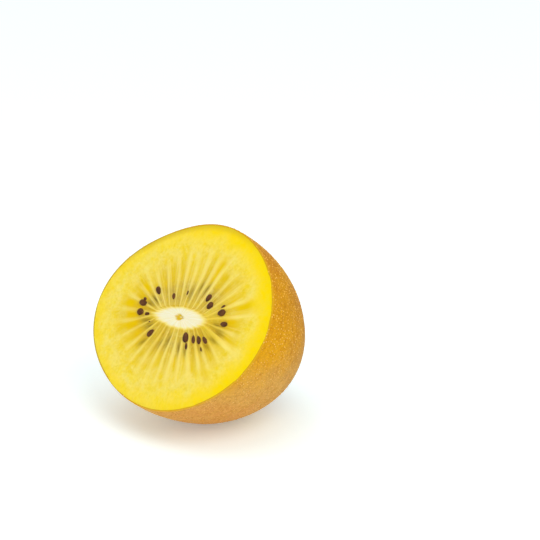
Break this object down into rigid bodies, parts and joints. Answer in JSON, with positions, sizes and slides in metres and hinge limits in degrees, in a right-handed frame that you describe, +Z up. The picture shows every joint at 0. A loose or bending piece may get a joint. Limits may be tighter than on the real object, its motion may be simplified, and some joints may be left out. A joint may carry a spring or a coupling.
{
  "type": "halved gold-fleshed kiwi fruit",
  "caption": "Half of a gold-fleshed kiwi fruit, cut across and lying on its side with the cut face looking up: thin brown skin, yellow flesh with pale rays, dark seeds and a white core.",
  "frame": {"origin": "middle of the small flat spot that the half rests on", "axes": "+Z up; the cut face looks out towards -Y and 35.4 degrees up from level, so the stem end points back towards +Y and down; +X is to the right, seen facing the cut"},
  "size_m": [0.0551, 0.0488, 0.0509],
  "materials": {
    "skin": "thin matte golden-brown fruit skin with pale pores and very fine down",
    "flesh": "moist translucent yellow fruit flesh with pale rays",
    "core": "moist creamy white fruit core",
    "seed": "smooth dark brown seed, wet"
  },
  "bodies": {
    "root": {"kiwi_half": "flesh"}
  },
  "joints": []
}
